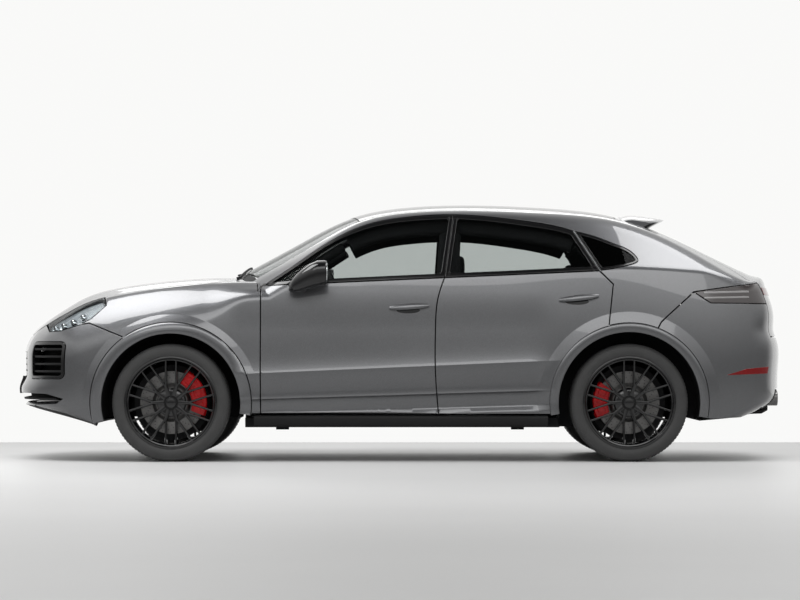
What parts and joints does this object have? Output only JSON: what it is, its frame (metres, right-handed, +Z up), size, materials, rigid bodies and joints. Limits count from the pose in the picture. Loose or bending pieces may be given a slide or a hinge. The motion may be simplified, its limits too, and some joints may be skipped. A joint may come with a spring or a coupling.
{
  "type": "coupe sport utility vehicle",
  "caption": "Five-door sport utility vehicle with a sloping coupe roof, steered front wheels, opening doors, bonnet and tailgate, and a hollow cabin with seats.",
  "frame": {"origin": "on the ground under the middle of the car", "axes": "+X forward, +Y to the car's left, +Z up"},
  "size_m": [4.9376, 2.19, 1.6574],
  "materials": {
    "paint": "metallic clear coat",
    "glass": "clear",
    "roof_glass": "dark tinted glass panel",
    "gloss_black": "gloss",
    "black_plastic": "matt",
    "lamp_lens": "clear lens over a dark housing",
    "red_lens": "smoked red lens",
    "steel": "satin",
    "exhaust_metal": "dark",
    "grip": "black",
    "upholstery": "black",
    "engine_casting": "cast",
    "caliper_paint": "gloss red",
    "rubber_tyre": "matt",
    "wheel_black": "gloss black",
    "brake_iron": "machined"
  },
  "bodies": {
    "body": {"fender_l": "paint", "fender_r": "paint", "front_bumper": "paint", "rear_bumper": "paint", "body_side_l": "paint", "body_side_r": "paint", "arch_trims": "paint", "quarter_glass": "glass", "windscreen": "glass", "roof_panel": "roof_glass", "intake_grilles": "black_plastic", "cowl": "black_plastic", "side_skirts": "black_plastic", "wheel_liners": "black_plastic", "dashboard": "black_plastic", "headlamps": "lamp_lens", "tail_lamps": "red_lens", "floor_pan": "steel", "front_axle": "steel", "rear_axle": "steel", "exhaust": "exhaust_metal", "steering_wheel": "grip", "front_seats": "upholstery", "rear_bench": "upholstery", "engine": "engine_casting", "calipers_rear": "caliper_paint"},
    "steer_l": {"knuckle_l": "steel", "caliper_front_l": "caliper_paint"},
    "steer_r": {"knuckle_r": "steel", "caliper_front_r": "caliper_paint"},
    "bonnet": {"bonnet": "paint"},
    "tailgate": {"tailgate": "paint", "tailgate_glass": "glass", "light_bar": "red_lens", "spoiler": "paint"},
    "wheel_front_l": {"tyre_front_l": "rubber_tyre", "rim_front_l": "wheel_black", "disc_front_l": "brake_iron"},
    "wheel_rear_l": {"tyre_rear_l": "rubber_tyre", "rim_rear_l": "wheel_black", "disc_rear_l": "brake_iron"},
    "door_front_l": {"door_front_l": "paint", "door_glass_front_l": "glass", "mirror_l": "gloss_black"},
    "door_rear_l": {"door_rear_l": "paint", "door_glass_rear_l": "glass"},
    "wheel_front_r": {"tyre_front_r": "rubber_tyre", "rim_front_r": "wheel_black", "disc_front_r": "brake_iron"},
    "wheel_rear_r": {"tyre_rear_r": "rubber_tyre", "rim_rear_r": "wheel_black", "disc_rear_r": "brake_iron"},
    "door_front_r": {"door_front_r": "paint", "door_glass_front_r": "glass", "mirror_r": "gloss_black"},
    "door_rear_r": {"door_rear_r": "paint", "door_glass_rear_r": "glass"}
  },
  "joints": [
    {"name": "steer_l", "type": "hinge", "parent": "body", "child": "steer_l", "pos_m": [1.4475, 0.8, 0.372], "axis": [0, 0, 1], "range_deg": [-32, 32]},
    {"name": "steer_r", "type": "hinge", "parent": "body", "child": "steer_r", "pos_m": [1.4475, -0.8, 0.372], "axis": [0, 0, 1], "range_deg": [-32, 32]},
    {"name": "spin_front_l", "type": "hinge", "parent": "steer_l", "child": "wheel_front_l", "pos_m": [1.4475, 0.84, 0.372], "axis": [0, 1, 0], "continuous": true},
    {"name": "spin_rear_l", "type": "hinge", "parent": "body", "child": "wheel_rear_l", "pos_m": [-1.4475, 0.83, 0.372], "axis": [0, 1, 0], "continuous": true},
    {"name": "open_door_front_l", "type": "hinge", "parent": "body", "child": "door_front_l", "pos_m": [0.8825, 0.967, 0.67], "axis": [0, 0, -1], "range_deg": [0, 65]},
    {"name": "open_door_rear_l", "type": "hinge", "parent": "body", "child": "door_rear_l", "pos_m": [-0.2224, 0.967, 0.67], "axis": [0, 0, -1], "range_deg": [0, 65]},
    {"name": "spin_front_r", "type": "hinge", "parent": "steer_r", "child": "wheel_front_r", "pos_m": [1.4475, -0.84, 0.372], "axis": [0, 1, 0], "continuous": true},
    {"name": "spin_rear_r", "type": "hinge", "parent": "body", "child": "wheel_rear_r", "pos_m": [-1.4475, -0.83, 0.372], "axis": [0, 1, 0], "continuous": true},
    {"name": "open_door_front_r", "type": "hinge", "parent": "body", "child": "door_front_r", "pos_m": [0.8825, -0.967, 0.67], "axis": [0, 0, 1], "range_deg": [0, 65]},
    {"name": "open_door_rear_r", "type": "hinge", "parent": "body", "child": "door_rear_r", "pos_m": [-0.2224, -0.967, 0.67], "axis": [0, 0, 1], "range_deg": [0, 65]},
    {"name": "open_bonnet", "type": "hinge", "parent": "body", "child": "bonnet", "pos_m": [0.9725, 0, 1.128], "axis": [0, -1, 0], "range_deg": [0, 55]},
    {"name": "open_tailgate", "type": "hinge", "parent": "body", "child": "tailgate", "pos_m": [-1.3875, 0, 1.5815], "axis": [0, 1, 0], "range_deg": [0, 72]}
  ],
  "couplings": [
    {"joint": "steer_r", "follows": "steer_l", "ratio": 1}
  ]
}
